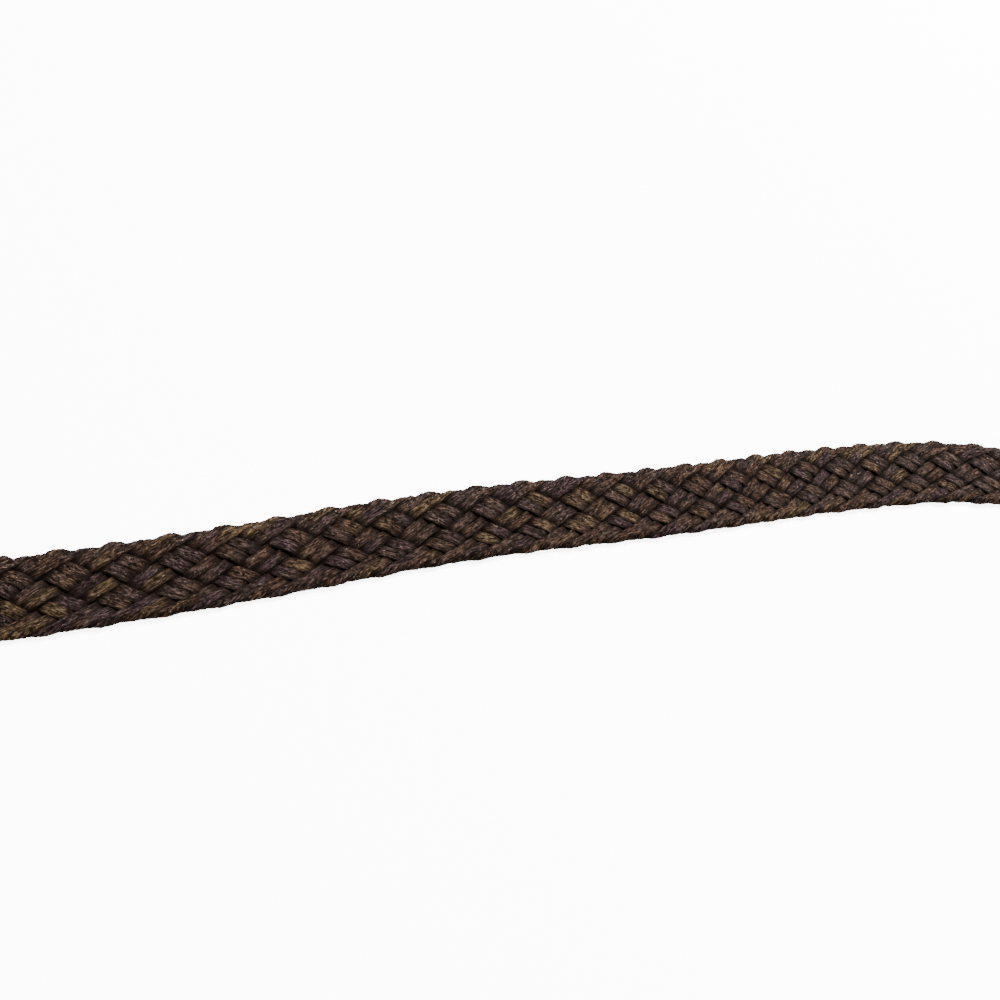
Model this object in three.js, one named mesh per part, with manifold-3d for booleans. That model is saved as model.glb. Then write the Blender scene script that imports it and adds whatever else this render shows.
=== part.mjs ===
// A braided leather belt, laid open on its flat side: a flat plait of twelve laces worked in
// six pairs, a leather tab folded round the bar of a plain buckle, a keeper loop, and a
// leather tip. Millimetres, +Z up. The buckle's end runs along +X, the belt bends gently to
// the right from there to its tip, and the origin is at the bottom centre of its bounding box.
import * as THREE from "three";
import { mergeVertices } from "three/addons/utils/BufferGeometryUtils.js";
import Module from "manifold-3d";

const wasm = await Module();
wasm.setup();

// The belt as a whole
const BELT_LENGTH = 1060; // from the buckle's bar to the tip
const FIT_GAP = 0.3; // between pieces that touch

// The plait
const BRAID_WIDTH = 32;
const LACE_THICKNESS = 1.8;
const LACE_PLAY = 0.1; // left between two laces where they cross
const CELL_PITCH = 17; // one repeat of the plait along the belt
const CELL_SWAY = 5.3; // how far the cells get ahead of an even spacing and fall behind it
const SWAY_WAVES = 2.5; // how many times they do so along the plait
const ROW_SKEW = 0.245; // how much further along the belt a row lies, of its offset to the left
const CELL_RELIEF = 0.9; // how deep the corners between the cells lie
const EDGE_SCALLOP = 0.9; // how far the laces bulge where they turn at the edges
const EDGE_FLAT = 0.4; // height of the plait's outermost faces, of its thickness

// The ends of the plait, pressed flat inside the leather
const PRESSED_THICKNESS = 2.6;
const PRESSED_RELIEF = 0.3;
const SIDE_TUCK = 1.5; // taken off the braid's width at each side there
const PRESS_LENGTH = 14; // over which the braid is squeezed, outside the leather
const BRAID_INSET = 23; // length of braid held in the tip

// The leather of the tab, the tip and the keeper
const LEATHER = 1.5;
const TAB_OVERHANG = 0.5; // the tab and the tip are wider than the braid by this at each side
const TAB_LENGTH = 52; // from the bar to the tab's mouth
const FOLD_SLOPE = 12; // length over which the folded tab thins behind the bar
const SLOT_WIDTH = 7; // the cut for the prong
const SLOT_REACH = 10; // how far that cut runs behind the bar
const TIP_LENGTH = 60;
const TIP_ROUND = 20; // length of the tip's rounded end
const TIP_STEP = 10; // length over which the tip thins beyond the end of the braid

// The keeper loop
const KEEPER_WIDTH = 12;
const KEEPER_OFFSET = 14; // from the bar to the keeper
const KEEPER_SIDE = 0.8; // clearance at each side of the tab
const KEEPER_ROOM = 0.9; // clearance over the belt's free end
const KEEPER_CORNER = 2.6;
const BRAID_GAP = 3; // from the keeper to the end of the braid inside the tab

// The buckle
const BAR_RADIUS = 1.6;
const FRAME_WIDTH = 5; // of the frame's section, seen from above
const FRAME_HEIGHT = 4.6;
const FRAME_LENGTH = 34.5; // from the bar to the middle of the front
const FRAME_SIDE = 1.5; // clearance between the tab and the frame's sides
const FRAME_CORNER = 6; // radius of the front corners, to the middle of the section
const HEEL_CORNER = 2.5; // radius of the corners at the bar
const CORNER_STEPS = 4;
const OVAL_SIDES = 12;
const PRONG_WIDTH = 4.4;
const PRONG_HEIGHT = 2.4;
const PRONG_TAPER = 0.8; // from the root to the front, and again to the tip
const PRONG_BITE = 0.4; // how deep the prong is seated in the front of the frame
const PRONG_OVERHANG = 3.5; // past the middle of the frame's front
const PRONG_ROOT = 2.8; // outer radius of the prong's root round the bar
const ROOT_WIDTH = 5.2;

// How the belt lies: the share of the open braid that each stretch takes, and its turn to the
// left in degrees
const ROUTE = [
  { share: 0.32, turn: -5.1 },
  { share: 0.095, turn: 3.5 },
  { share: 0.095, turn: -6 },
  { share: 0.085, turn: 2.8 },
  { share: 0.068, turn: -4.5 },
  { share: 0.052, turn: -15.7 },
  { share: 0.285, turn: -8 },
];

// Worked out from those
const ROWS = 5; // crossings side by side across the plait
const ROW_SHARE = 0.2; // spacing of those rows, of the braid's width
const QUARTERS = 4; // sections to one repeat
const braidThickness = 2 * LACE_THICKNESS + LACE_PLAY;
const pocketHeight = PRESSED_THICKNESS + 2 * FIT_GAP;
const tabHeight = pocketHeight + 2 * LEATHER;
const tabWidth = BRAID_WIDTH + 2 * TAB_OVERHANG;
const boreRadius = BAR_RADIUS + FIT_GAP;
const foldRadius = boreRadius + LEATHER;
const barHeight = foldRadius;
const braidStart = KEEPER_OFFSET + KEEPER_WIDTH + BRAID_GAP;
const braidEnd = BELT_LENGTH - TIP_LENGTH + BRAID_INSET;
const braidLength = braidEnd - braidStart;
const repeats = Math.round(braidLength / CELL_PITCH);
const pitch = braidLength / repeats;

const leatherFinish = new THREE.MeshStandardMaterial({ color: 0x3a2c24, roughness: 0.7, metalness: 0 });
const laceFinish = new THREE.MeshStandardMaterial({ color: 0x3f3129, roughness: 0.75, metalness: 0 });
const brassFinish = new THREE.MeshStandardMaterial({ color: 0x7a6440, roughness: 0.45, metalness: 1 });

// The centreline: a straight stretch under the tab, the arcs of ROUTE, and a straight tip.
function routeStretches() {
  const stretches = [{ length: TAB_LENGTH, turn: 0 }];
  const free = BELT_LENGTH - TAB_LENGTH - TIP_LENGTH;
  for (const row of ROUTE) {
    stretches.push({ length: row.share * free, turn: THREE.MathUtils.degToRad(row.turn) });
  }
  stretches.push({ length: TIP_LENGTH, turn: 0 });
  return stretches;
}

const stretches = routeStretches();

// The point and heading of the centreline at a distance from the bar.
function routeAt(distance) {
  let x = 0;
  let y = 0;
  let heading = 0;
  let left = distance;
  stretches.forEach((stretch, index) => {
    const last = index === stretches.length - 1;
    const run = last ? left : Math.min(left, stretch.length);
    if (run <= 0 && index > 0) return;
    const turned = (stretch.turn * run) / stretch.length;
    const middle = heading + turned / 2;
    const chord = Math.abs(turned) > 1e-9 ? (run * Math.sin(turned / 2)) / (turned / 2) : run;
    x += chord * Math.cos(middle);
    y += chord * Math.sin(middle);
    heading += turned;
    left -= run;
  });
  return { x, y, heading };
}

// A point of the belt, from its distance along the centreline, its offset to the left and its height.
function beltPoint(distance, offset, height) {
  const { x, y, heading } = routeAt(distance);
  return new THREE.Vector3(x - offset * Math.sin(heading), y + offset * Math.cos(heading), height);
}

function middleOf(points) {
  return points.reduce((sum, p) => sum.add(p), new THREE.Vector3()).divideScalar(points.length);
}

// A closed body through rings of points, each ring running the same way round. Each face
// between two rings is split along the diagonal that stands further out, so ridges stay whole.
// The ends are capped, or joined to each other where the rings form a loop.
function loft(rings, loop = false) {
  const size = rings[0].length;
  const points = rings.flat();
  const faces = [];
  const strips = loop ? rings.length : rings.length - 1;
  for (let r = 0; r < strips; r += 1) {
    const a = r * size;
    const b = ((r + 1) % rings.length) * size;
    const centre = middleOf([...points.slice(a, a + size), ...points.slice(b, b + size)]);
    const reach = (p, q) => middleOf([points[p], points[q]]).distanceTo(centre);
    for (let k = 0; k < size; k += 1) {
      const n = (k + 1) % size;
      if (reach(a + k, b + n) > reach(a + n, b + k)) {
        faces.push(a + k, b + n, b + k, a + k, a + n, b + n);
      } else {
        faces.push(a + k, a + n, b + k, a + n, b + n, b + k);
      }
    }
  }
  if (!loop) {
    for (const [ring, first] of [[rings[0], 0], [rings.at(-1), (rings.length - 1) * size]]) {
      points.push(middleOf(ring));
      for (let k = 0; k < size; k += 1) {
        const edge = [first + k, first + ((k + 1) % size)];
        if (first === 0) edge.reverse();
        faces.push(edge[0], edge[1], points.length - 1);
      }
    }
  }
  const geometry = new THREE.BufferGeometry().setFromPoints(points);
  geometry.setIndex(faces);
  return geometry;
}

// A geometry as a solid that can be cut and joined, and back.
function solid(geometry) {
  const bare = geometry.index ? geometry.toNonIndexed() : geometry.clone();
  bare.deleteAttribute("normal");
  bare.deleteAttribute("uv");
  const merged = mergeVertices(bare, 1e-4);
  return new wasm.Manifold(
    new wasm.Mesh({
      numProp: 3,
      vertProperties: new Float32Array(merged.attributes.position.array),
      triVerts: new Uint32Array(merged.index.array),
    }),
  );
}

function geometryOf(shape) {
  const mesh = shape.getMesh();
  const geometry = new THREE.BufferGeometry();
  geometry.setAttribute("position", new THREE.BufferAttribute(new Float32Array(mesh.vertProperties), 3));
  geometry.setIndex(new THREE.BufferAttribute(new Uint32Array(mesh.triVerts), 1));
  geometry.computeVertexNormals();
  return geometry;
}

// A side view in X and Z, carried along Y over a width that is centred on the belt.
function acrossBelt(sideShape, width) {
  const geometry = new THREE.ExtrudeGeometry(sideShape, { depth: width, bevelEnabled: false, curveSegments: 10 });
  geometry.rotateX(Math.PI / 2);
  geometry.translate(0, width / 2, 0);
  return geometry;
}

// How far the braid is squeezed at a distance from the bar: 0 where it is free, 1 in the leather.
function squeezeAt(distance) {
  const mouths = [distance - TAB_LENGTH, BELT_LENGTH - TIP_LENGTH - distance];
  const outside = Math.min(...mouths);
  return 1 - THREE.MathUtils.smoothstep(outside, 0, PRESS_LENGTH);
}

// How far along the belt a point of the plait lies, from its place in an even plait.
function spread(even, offset, free) {
  const sway = CELL_SWAY * Math.sin((2 * Math.PI * SWAY_WAVES * even) / braidLength);
  return braidStart + even + sway + ROW_SKEW * offset * free;
}

// The plait as one band. Cells stand high where two laces cross and low at their corners, and
// the edges bulge at each quarter and three quarters of a repeat, where the laces turn.
function braidedStrap() {
  const rings = [];
  const rowsEachSide = (ROWS - 1) / 2;
  for (let quarter = 0; quarter <= repeats * QUARTERS; quarter += 1) {
    const even = (quarter * pitch) / QUARTERS;
    const squeeze = squeezeAt(spread(even, 0, 0));
    const free = 1 - squeeze;
    const width = BRAID_WIDTH - 2 * SIDE_TUCK * squeeze;
    const halfThickness = (braidThickness * free + PRESSED_THICKNESS * squeeze) / 2;
    const middle = (braidThickness / 2) * free + (tabHeight / 2) * squeeze;
    const relief = CELL_RELIEF * free + PRESSED_RELIEF * squeeze;
    const phase = (quarter * Math.PI) / 2;
    const bulge = EDGE_SCALLOP * free * (1 + Math.cos(2 * phase)) * 0.5;
    const edge = width / 2 - bulge;
    const face = (row) => halfThickness - (relief * (1 - Math.cos(phase) * Math.cos(Math.PI * row))) / 2;
    const ring = [];
    for (let row = rowsEachSide; row >= -rowsEachSide; row -= 1) {
      ring.push([row * ROW_SHARE * width, middle + face(row)]);
    }
    ring.push([-edge, middle + EDGE_FLAT * halfThickness]);
    ring.push([-edge, middle - EDGE_FLAT * halfThickness]);
    for (let row = -rowsEachSide; row <= rowsEachSide; row += 1) {
      ring.push([row * ROW_SHARE * width, middle - face(row)]);
    }
    ring.push([edge, middle - EDGE_FLAT * halfThickness]);
    ring.push([edge, middle + EDGE_FLAT * halfThickness]);
    rings.push(ring.map(([offset, height]) => beltPoint(spread(even, offset, free), offset, height)));
  }
  return loft(rings);
}

// The strip that is folded round the buckle's bar, cut through for the prong.
function buckleTab() {
  const side = new THREE.Shape();
  side.moveTo(TAB_LENGTH, 0);
  side.lineTo(TAB_LENGTH, LEATHER);
  side.lineTo(0, LEATHER);
  side.absarc(0, barHeight, boreRadius, -Math.PI / 2, Math.PI / 2, true);
  side.lineTo(FOLD_SLOPE, tabHeight - LEATHER);
  side.lineTo(TAB_LENGTH, tabHeight - LEATHER);
  side.lineTo(TAB_LENGTH, tabHeight);
  side.lineTo(FOLD_SLOPE, tabHeight);
  side.lineTo(0, barHeight + foldRadius);
  side.absarc(0, barHeight, foldRadius, Math.PI / 2, (3 * Math.PI) / 2, false);
  side.lineTo(TAB_LENGTH, 0);
  const strip = solid(acrossBelt(side, tabWidth));
  const slotLength = foldRadius + SLOT_REACH;
  const slotHeight = 4 * foldRadius;
  const slot = new THREE.BoxGeometry(2 * slotLength, SLOT_WIDTH, slotHeight);
  slot.translate(SLOT_REACH - slotLength, 0, barHeight);
  return geometryOf(strip.subtract(solid(slot)));
}

// The two layers that hold the far end of the braid, closed into one beyond it.
function beltTip() {
  const pocket = BRAID_INSET + FIT_GAP;
  const side = new THREE.Shape();
  side.moveTo(0, 0);
  side.lineTo(TIP_LENGTH, 0);
  side.lineTo(TIP_LENGTH, 2 * LEATHER);
  side.lineTo(pocket + TIP_STEP, 2 * LEATHER);
  side.lineTo(pocket, tabHeight);
  side.lineTo(0, tabHeight);
  side.lineTo(0, tabHeight - LEATHER);
  side.lineTo(pocket, tabHeight - LEATHER);
  side.lineTo(pocket, LEATHER);
  side.lineTo(0, LEATHER);
  side.lineTo(0, 0);
  const outline = new THREE.Shape();
  outline.moveTo(0, -tabWidth / 2);
  outline.lineTo(TIP_LENGTH - TIP_ROUND, -tabWidth / 2);
  outline.absellipse(TIP_LENGTH - TIP_ROUND, 0, TIP_ROUND, tabWidth / 2, -Math.PI / 2, Math.PI / 2, false);
  outline.lineTo(0, tabWidth / 2);
  const plan = new THREE.ExtrudeGeometry(outline, { depth: tabHeight, bevelEnabled: false, curveSegments: 20 });
  return geometryOf(solid(acrossBelt(side, tabWidth)).intersect(solid(plan)));
}

// A rounded rectangle in the plane of a shape, as an outline or as a hole.
function roundedRectangle(path, left, right, low, high, corner) {
  path.moveTo(left + corner, low);
  path.lineTo(right - corner, low);
  path.absarc(right - corner, low + corner, corner, -Math.PI / 2, 0, false);
  path.lineTo(right, high - corner);
  path.absarc(right - corner, high - corner, corner, 0, Math.PI / 2, false);
  path.lineTo(left + corner, high);
  path.absarc(left + corner, high - corner, corner, Math.PI / 2, Math.PI, false);
  path.lineTo(left, low + corner);
  path.absarc(left + corner, low + corner, corner, Math.PI, (3 * Math.PI) / 2, false);
  return path;
}

// The keeper: a closed leather ring whose lower side runs between the two layers of the tab.
function keeperLoop() {
  const inner = tabWidth / 2 + KEEPER_SIDE;
  const outer = inner + LEATHER;
  const low = LEATHER + FIT_GAP;
  const roof = 2 * tabHeight + KEEPER_ROOM;
  const ring = roundedRectangle(new THREE.Shape(), -outer, outer, low, roof + LEATHER, KEEPER_CORNER);
  const innerCorner = Math.max(KEEPER_CORNER - LEATHER, FIT_GAP);
  ring.holes.push(roundedRectangle(new THREE.Path(), -inner, inner, low + LEATHER, roof, innerCorner));
  const geometry = new THREE.ExtrudeGeometry(ring, { depth: KEEPER_WIDTH, bevelEnabled: false, curveSegments: 6 });
  geometry.rotateX(Math.PI / 2);
  geometry.rotateZ(Math.PI / 2);
  geometry.translate(KEEPER_OFFSET, 0, 0);
  return geometry;
}

// A section of the frame or the prong: an oval across a direction in plan.
function ovalRing(x, y, z, direction, halfWidth, halfHeight) {
  const ring = [];
  for (let k = 0; k < OVAL_SIDES; k += 1) {
    const angle = (2 * Math.PI * k) / OVAL_SIDES;
    const across = halfWidth * Math.cos(angle);
    const px = x - across * Math.sin(direction);
    const py = y + across * Math.cos(direction);
    ring.push(new THREE.Vector3(px, py, z + halfHeight * Math.sin(angle)));
  }
  return ring;
}

// Sections of the frame round one of its corners, whose arc starts and ends at these angles.
function cornerRings(x, y, radius, start, end, steps) {
  const rings = [];
  for (let k = 0; k <= steps; k += 1) {
    const angle = start + ((end - start) * k) / steps;
    const px = x + radius * Math.cos(angle);
    const py = y + radius * Math.sin(angle);
    rings.push(ovalRing(px, py, FRAME_HEIGHT / 2, angle + Math.PI / 2, FRAME_WIDTH / 2, FRAME_HEIGHT / 2));
  }
  return rings;
}

// The buckle's frame: a loop of oval sections, along the bar and round the left side, the
// front and the right side back to the bar. The sections at the bar are round and smaller.
function buckleFrame() {
  const quarter = Math.PI / 2;
  const side = tabWidth / 2 + FRAME_SIDE + FRAME_WIDTH / 2;
  const barEnd = tabWidth / 2 + FRAME_SIDE / 2;
  const heelX = -HEEL_CORNER;
  const heelY = side - HEEL_CORNER;
  const frontX = -FRAME_LENGTH + FRAME_CORNER;
  const frontY = side - FRAME_CORNER;
  const rings = [
    ovalRing(0, -barEnd, barHeight, quarter, BAR_RADIUS, BAR_RADIUS),
    ovalRing(0, barEnd, barHeight, quarter, BAR_RADIUS, BAR_RADIUS),
    ...cornerRings(heelX, heelY, HEEL_CORNER, quarter / 2, quarter, 1),
    ...cornerRings(frontX, frontY, FRAME_CORNER, quarter, 2 * quarter, CORNER_STEPS),
    ...cornerRings(frontX, -frontY, FRAME_CORNER, 2 * quarter, 3 * quarter, CORNER_STEPS),
    ...cornerRings(heelX, -heelY, HEEL_CORNER, 3 * quarter, 3.5 * quarter, 1),
  ];
  return solid(loft(rings, true));
}

// The prong: a tapered bar from its root on the buckle's bar to its tip, just past the front
// of the frame, into which it is seated.
function prong() {
  const across = PRONG_WIDTH / 2;
  const high = PRONG_HEIGHT / 2;
  const seat = FRAME_HEIGHT - PRONG_BITE + high;
  const tipX = -FRAME_LENGTH - PRONG_OVERHANG;
  const front = across * PRONG_TAPER;
  const tip = front * PRONG_TAPER;
  return solid(loft([
    ovalRing(0, 0, seat, Math.PI, across, high),
    ovalRing(-FRAME_LENGTH + FRAME_WIDTH, 0, seat, Math.PI, front, high),
    ovalRing(tipX, 0, seat - high * (1 - PRONG_TAPER), Math.PI, tip, high * PRONG_TAPER),
  ]));
}

// The buckle as one plain piece: the frame with its bar, the prong, and its root round the bar.
function buckle() {
  const root = new THREE.CylinderGeometry(PRONG_ROOT, PRONG_ROOT, ROOT_WIDTH, 20);
  root.translate(0, 0, barHeight);
  return geometryOf(buckleFrame().add(solid(root)).add(prong()));
}

// One named piece, set at a distance along the belt's centreline.
function placed(name, geometry, material, distance) {
  const mesh = new THREE.Mesh(geometry, material);
  const { x, y, heading } = routeAt(distance);
  mesh.name = name;
  mesh.position.set(x, y, 0);
  mesh.rotation.z = heading;
  return mesh;
}

const belt = new THREE.Group();
belt.name = "braided_belt";
const strap = new THREE.Mesh(braidedStrap(), laceFinish);
strap.name = "braided_strap";
belt.add(strap);
belt.add(placed("buckle", buckle(), brassFinish, 0));
belt.add(placed("buckle_tab", buckleTab(), leatherFinish, 0));
belt.add(placed("keeper_loop", keeperLoop(), leatherFinish, 0));
belt.add(placed("belt_tip", beltTip(), leatherFinish, BELT_LENGTH - TIP_LENGTH));

// The origin goes to the bottom centre of the whole.
belt.updateMatrixWorld(true);
const bounds = new THREE.Box3().setFromObject(belt, true);
const centre = bounds.getCenter(new THREE.Vector3());
belt.position.set(-centre.x, -centre.y, -bounds.min.z);

export default belt;
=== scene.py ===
import math

import bmesh
import bpy
import numpy as np
from mathutils import Matrix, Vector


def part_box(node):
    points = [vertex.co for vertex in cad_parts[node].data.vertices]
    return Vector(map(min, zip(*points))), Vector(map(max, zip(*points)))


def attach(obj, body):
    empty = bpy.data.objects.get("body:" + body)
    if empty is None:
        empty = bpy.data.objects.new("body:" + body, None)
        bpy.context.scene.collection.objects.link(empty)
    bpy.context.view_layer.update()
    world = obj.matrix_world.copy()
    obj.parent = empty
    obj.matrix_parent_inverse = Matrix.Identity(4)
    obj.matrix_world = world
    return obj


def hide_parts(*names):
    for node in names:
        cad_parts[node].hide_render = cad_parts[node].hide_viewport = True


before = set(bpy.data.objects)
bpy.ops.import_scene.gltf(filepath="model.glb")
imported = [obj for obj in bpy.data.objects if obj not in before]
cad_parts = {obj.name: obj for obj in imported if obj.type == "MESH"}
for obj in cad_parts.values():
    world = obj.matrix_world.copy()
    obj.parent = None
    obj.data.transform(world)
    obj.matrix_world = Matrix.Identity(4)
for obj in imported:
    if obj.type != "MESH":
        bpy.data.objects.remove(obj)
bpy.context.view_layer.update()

# A braided leather belt lying open on its flat side. The plait is made of twelve laces worked
# in six pairs. Shapes are worked out in millimetres and put into the meshes in metres.
mm = 0.001

belt = {
    "length": 1060.0,        # from the buckle's bar to the tip
    "tabLength": 52.0,       # leather round the bar, up to its mouth
    "tipLength": 60.0,
    "route": [               # share of the open braid, turn to the left in degrees
        (0.32, -5.1), (0.095, 3.5), (0.095, -6.0), (0.085, 2.8), (0.068, -4.5), (0.052, -15.7),
        (0.285, -8.0),
    ],
    "braidStart": 29.0,      # where the laces begin inside the tab
    "braidHold": 23.0,       # length of braid held in the tip
    "keeperMiddle": 20.0,    # from the bar to the middle of the keeper
    "leather": 1.5,
    "leatherWidth": 33.0,
    "leatherHeight": 6.2,    # of the tab and the tip over the pressed braid
    "barHeight": 3.4,        # of the middle of the buckle's bar
}


# The route: arcs of constant turn, laid end to end from the bar. At a distance, each arc adds
# the chord of the part of it that is passed, at the heading of that part's middle.
def routeAt(distance):
    free = belt["length"] - belt["tabLength"] - belt["tipLength"]
    arcs = [(belt["tabLength"], 0.0)]
    arcs += [(share * free, math.radians(turn)) for share, turn in belt["route"]]
    arcs += [(10 * belt["tipLength"], 0.0)]
    distance = np.asarray(distance, dtype=float)
    x = np.minimum(distance, 0.0)
    y = np.zeros_like(distance)
    heading = np.zeros_like(distance)
    start = 0.0
    for length, turn in arcs:
        run = np.clip(distance - start, 0.0, length)
        turned = turn * run / length
        chord = run * np.sinc(turned / (2 * math.pi))
        x = x + chord * np.cos(heading + turned / 2)
        y = y + chord * np.sin(heading + turned / 2)
        heading = heading + turned
        start += length
    return x, y, heading


# The bar's place in the frame follows from the middle of the keeper's CAD box.
low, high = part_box("keeper_loop")
barX = (low[0] + high[0]) / 2 / mm - belt["keeperMiddle"]
barY = (low[1] + high[1]) / 2 / mm


# Points of the belt, from distance along it, offset to the left and height, in millimetres.
def onBelt(distance, offset, height):
    x, y, heading = routeAt(distance)
    px = barX + x - offset * np.sin(heading)
    py = barY + y + offset * np.cos(heading)
    return np.stack(np.broadcast_arrays(px, py, height), axis=-1)


# A mesh from a grid of points, row by row, which may close on itself across its rows and along
# them. One that closes across alone is a tube, and gets one face at each end.
def gridMesh(name, points, closedAcross=True, closedAlong=False):
    rows, columns = points.shape[:2]
    index = np.arange(rows * columns).reshape(rows, columns)
    if closedAcross:
        index = np.hstack([index, index[:, :1]])
    if closedAlong:
        index = np.vstack([index, index[:1]])
    quads = np.stack([index[:-1, :-1], index[1:, :-1], index[1:, 1:], index[:-1, 1:]], axis=-1)
    loops = quads.reshape(-1)
    sizes = np.full(len(loops) // 4, 4)
    if closedAcross and not closedAlong:
        firstRow = np.arange(columns)
        lastRow = np.arange(rows * columns)[-columns:]
        loops = np.concatenate([loops, firstRow, lastRow[::-1]])
        sizes = np.concatenate([sizes, [columns, columns]])
    mesh = bpy.data.meshes.new(name)
    mesh.vertices.add(rows * columns)
    mesh.vertices.foreach_set("co", (points * mm).reshape(-1))
    mesh.loops.add(len(loops))
    mesh.loops.foreach_set("vertex_index", loops)
    mesh.polygons.add(len(sizes))
    mesh.polygons.foreach_set("loop_start", np.concatenate([[0], np.cumsum(sizes)[:-1]]))
    mesh.polygons.foreach_set("loop_total", sizes)
    mesh.polygons.foreach_set("use_smooth", np.ones(len(sizes), dtype=bool))
    mesh.update(calc_edges=True)
    mesh.validate()
    return mesh


doubledReach = 0.002         # mm, points closer than this are one


# Doubled points are merged and the faces turned outwards.
def tidied(mesh):
    shape = bmesh.new()
    shape.from_mesh(mesh)
    bmesh.ops.remove_doubles(shape, verts=shape.verts, dist=doubledReach * mm)
    bmesh.ops.recalc_face_normals(shape, faces=shape.faces)
    shape.to_mesh(mesh)
    shape.free()
    mesh.update()
    return mesh


def addObject(name, data):
    made = bpy.data.objects.new(name, data)
    bpy.context.scene.collection.objects.link(made)
    return made


def addPiece(mesh, material, replaced=()):
    piece = addObject(mesh.name, mesh)
    mesh.materials.append(material)
    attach(piece, "root")
    if replaced:
        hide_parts(*replaced)
    return piece


# A smooth step from 0 to 1: three times the square of the share less twice its cube.
def smoothStep(share):
    return share * share * (3 - 2 * share)


# A soft wandering value between about -1 and 1: a few sine waves of seeded length and phase.
def wander(along, seed, shortest, longest, waves=6):
    random = np.random.default_rng(seed)
    lengths = np.exp(random.uniform(math.log(shortest), math.log(longest), waves))
    phases = random.uniform(0, 2 * math.pi, waves)
    total = 0.0
    for length, phase in zip(lengths, phases):
        total = total + np.sin(2 * math.pi * along / length + phase)
    return total / math.sqrt(waves)


# The same over a surface: waves that run at seeded slants across it.
def wanderOver(along, across, seed, shortest, longest, slant, waves=8):
    random = np.random.default_rng(seed)
    total = 0.0
    for wave in range(waves):
        length = math.exp(random.uniform(math.log(shortest), math.log(longest)))
        tilt = random.uniform(-slant, slant)
        phase = random.uniform(0, 2 * math.pi)
        total = total + np.sin(2 * math.pi * (along + tilt * across) / length + phase)
    return total / math.sqrt(waves)


# A superellipse: its points at even angles, each cosine and sine raised to 2 over the exponent.
def superellipse(sides, exponent):
    angle = 2 * math.pi * np.arange(sides) / sides
    power = 2 / exponent
    x = np.sign(np.cos(angle)) * np.abs(np.cos(angle)) ** power
    y = np.sign(np.sin(angle)) * np.abs(np.sin(angle)) ** power
    return x, y


plait = {
    "width": 32.0,
    "thickness": 3.7,
    "pitchWanted": 17.0,     # one repeat along the belt
    "sway": 5.3,             # how far the cells stray from an even spacing
    "swayWaves": 2.5,
    "skew": 0.245,           # how much further along the belt a point lies, of its offset
    "strands": 6,            # each a pair of laces
    "edge": 14.15,           # offset where a lace starts to bend round the belt's edge
    "slower": 0.19,          # how much a strand slows down towards the edge
    "bulge": 0.3,            # how far the first lace of a pair stands out past the second
    "bowLeft": 1.0,          # how far the left edge bows outwards at each lace's fold
    "bowRight": 0.5,
    "lean": 1.6,             # how far the rows lie to the right of an even spread
    "lift": 0.83,            # height of a lace's middle over the plait's middle
    "dive": 0.13,            # half-steps over which a lace goes from top to bottom
    "spread": 0.225,         # half the distance between a pair's laces, of the pitch
    "laceWidth": 5.0,
    "laceThick": 2.0,        # laces press a little into each other where they cross
    "foldWidth": 0.88,       # of its width where a lace turns
    "foldReach": 0.5,        # half-steps from the fold over which it is narrower
    "laceRun": 0.64,         # length of a lace to a half-step, of the pitch
    "bowPair": 0.3,          # how much more the edge bows at the first lace of a pair
    "bowMean": 0.6,          # taken off the bow, to keep the edge's mean place
    "pressedThickness": 2.6,
    "sideTuck": 1.5,         # taken off the braid's width at each side inside the leather
    "pressLength": 14.0,     # over which the braid is squeezed, outside the leather
    "pressedMiddle": 3.1,    # height of the pressed braid's middle inside the leather
}
laceGrid = {
    "rowsPerHalf": 10,       # rows to a half-step, about
    "finePerHalf": 60,       # steps in which the rows' density is added up
    "diveRows": 1.8,         # how much denser the rows are at a dive, and how far from it
    "diveReach": 0.22,
    "turnRows": 1.2,         # the same at a fold
    "turnReach": 0.6,
    "flat": 0.8,             # half of a section's flat, of its half width
    "flatPoints": 7,
    "dome": 0.09,            # how far its ends lie below its middle, of its half thickness
    "sideHeight": 0.92,      # of a section's rounded sides, of its thickness
}
uneven = {                   # how a lace strays: seed, size, shortest and longest half-steps
    "sideways": (1, 0.15, 1.2, 5),
    "along": (2, 0.25, 1.2, 6),
    "roll": (3, 0.06, 0.9, 3),
    "width": (4, 0.05, 0.5, 3),
    "thickness": (5, 0.05, 0.5, 3),
    "height": (6, 0.05, 1.5, 6),
}
ridges = {"seed": 7, "size": 0.1, "shortest": 0.9, "longest": 2.4, "slant": 1.0, "stretch": 0.25}
braidLength = belt["length"] - belt["tipLength"] + belt["braidHold"] - belt["braidStart"]
repeats = round(braidLength / plait["pitchWanted"])
pitch = braidLength / repeats


# Half-steps counted along a strand: it crosses the belt's middle at 3 and 9, is folded over at
# the left edge at 6 and at the right edge at 12, and dives between the crossings.
def laceMarks(first, last, shift):
    cycles = np.arange(math.floor(first / 12) - 1, math.ceil(last / 12) + 2) * 12.0
    folds = np.sort(np.concatenate([cycles - 6.0, cycles]))
    dives = [cycles + mark for mark in (1.5, 2.5, 3.5, 4.5, 7.5, 8.5, 9.5, 10.5)]
    return folds, np.sort(np.concatenate(dives) - shift)


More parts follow.
